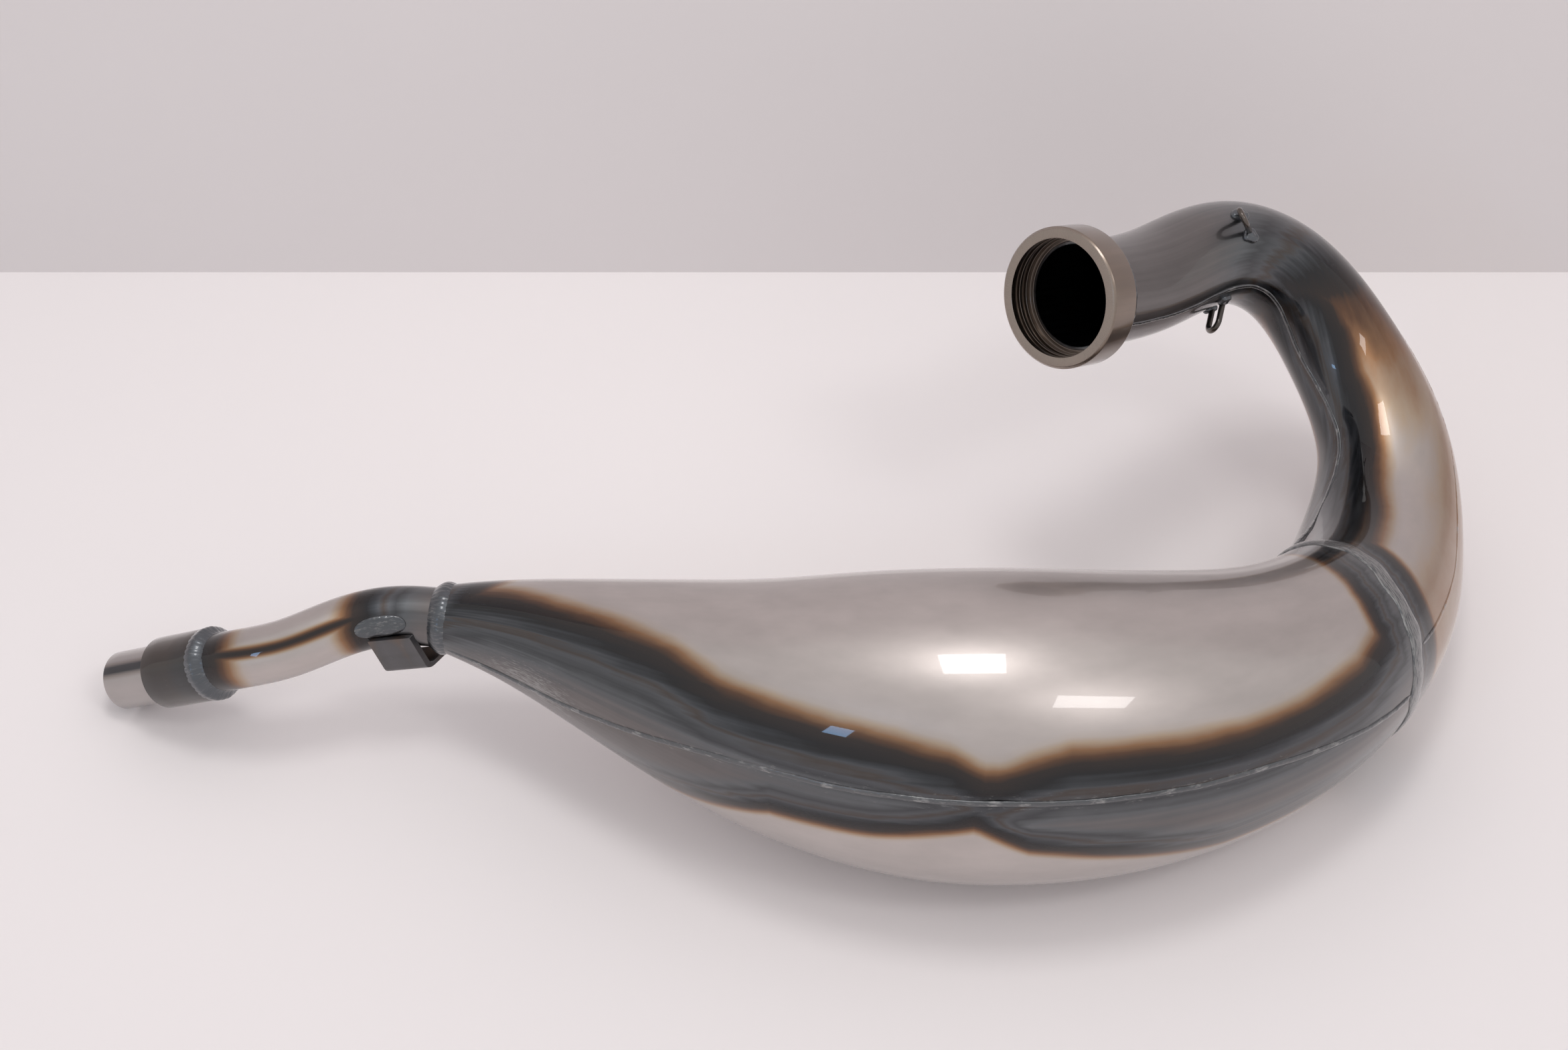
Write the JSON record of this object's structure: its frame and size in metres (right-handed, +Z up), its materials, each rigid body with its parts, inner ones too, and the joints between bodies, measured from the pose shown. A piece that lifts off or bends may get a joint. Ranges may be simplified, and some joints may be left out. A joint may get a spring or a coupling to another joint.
{
  "type": "motorcycle expansion chamber",
  "caption": "Curled steel two-stroke expansion chamber: grooved round flange, elbowed header, swelling diffuser, fat belly, closing cone, bent stinger with collar and tail tube",
  "frame": {"origin": "centre of the bounding box in plan, at the level of the bench it lies on", "axes": "+Z up as it lies; +X along its length, from the tail towards the header's bend; +Y from the belly's side towards the header's bend"},
  "size_m": [0.5968, 0.314, 0.1907],
  "materials": {
    "shell_steel": "satin",
    "tube_steel": "satin",
    "weld_steel": "satin",
    "flange_steel": "satin"
  },
  "bodies": {
    "root": {"header_flange": "flange_steel", "flange_weld": "weld_steel", "header_shell_upper": "shell_steel", "header_shell_lower": "shell_steel", "header_outer_seam_weld": "weld_steel", "header_inner_seam_weld": "weld_steel", "chamber_joint_weld": "weld_steel", "belly_shell_upper": "shell_steel", "belly_shell_lower": "shell_steel", "belly_front_seam_weld": "weld_steel", "belly_back_seam_weld": "weld_steel", "stinger_joint_weld": "weld_steel", "stinger_tube": "tube_steel", "stinger_collar": "tube_steel", "collar_weld": "weld_steel", "tail_tube": "tube_steel", "stinger_bracket": "tube_steel", "bracket_weld": "weld_steel", "spring_hook_side": "tube_steel", "side_hook_weld": "weld_steel", "spring_hook_lower": "tube_steel", "lower_hook_weld": "weld_steel"}
  },
  "joints": []
}
